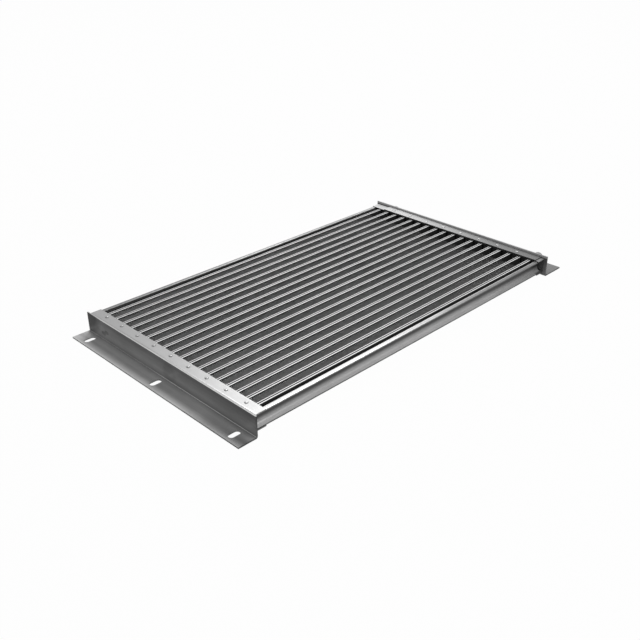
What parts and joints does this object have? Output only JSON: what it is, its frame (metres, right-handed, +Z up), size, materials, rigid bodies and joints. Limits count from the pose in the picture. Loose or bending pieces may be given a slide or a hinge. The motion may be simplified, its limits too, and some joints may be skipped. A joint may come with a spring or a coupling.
{
  "type": "condenser coil",
  "caption": "Flat-tube condenser coil with folded fins, end channels, side rails, slotted mounting feet and two rear connection tubes.",
  "frame": {"origin": "under the middle of the overall box, on the plane that the feet rest on", "axes": "+X along the tubes from the front bracket to the rear bracket with the connections, +Y to the left side rail, +Z up from the feet"},
  "size_m": [0.684, 0.36, 0.034],
  "materials": {
    "bracket": "bare folded sheet, dull, fine rolled grain, rubbed lighter along the bend and the outer edge of the foot",
    "channel": "bare folded sheet, half gloss, fine rolled grain",
    "strip": "bare flat sheet, half gloss",
    "rail": "bare folded sheet, half gloss on top, dull in its recess, lower flange rubbed lighter",
    "rivet": "bare, glossy",
    "tube": "bare and bright on the tops of the rims, dark on the sides",
    "fin": "dull dark fin strip",
    "header": "dull black coating",
    "stub": "bare drawn tube"
  },
  "bodies": {
    "root": {"front_mounting_bracket": "bracket", "rear_mounting_bracket": "bracket", "front_end_channel": "channel", "rear_end_channel": "channel", "rear_cover_strip": "strip", "left_side_rail": "rail", "right_side_rail": "rail", "front_header": "header", "rear_header": "header", "front_header_left_cap": "header", "front_header_right_cap": "header", "rear_header_left_cap": "header", "rear_header_right_cap": "header", "rear_header_baffle": "header", "inlet_stub": "stub", "outlet_stub": "stub", "front_top_rivets": "rivet", "rear_top_rivets": "rivet", "flat_tube_01": "tube", "flat_tube_02": "tube", "flat_tube_03": "tube", "flat_tube_04": "tube", "flat_tube_05": "tube", "flat_tube_06": "tube", "flat_tube_07": "tube", "flat_tube_08": "tube", "flat_tube_09": "tube", "flat_tube_10": "tube", "flat_tube_11": "tube", "flat_tube_12": "tube", "flat_tube_13": "tube", "flat_tube_14": "tube", "flat_tube_15": "tube", "flat_tube_16": "tube", "flat_tube_17": "tube", "flat_tube_18": "tube", "fin_pack_01": "fin", "fin_pack_02": "fin", "fin_pack_03": "fin", "fin_pack_04": "fin", "fin_pack_05": "fin", "fin_pack_06": "fin", "fin_pack_07": "fin", "fin_pack_08": "fin", "fin_pack_09": "fin", "fin_pack_10": "fin", "fin_pack_11": "fin", "fin_pack_12": "fin", "fin_pack_13": "fin", "fin_pack_14": "fin", "fin_pack_15": "fin", "fin_pack_16": "fin", "fin_pack_17": "fin"}
  },
  "joints": []
}
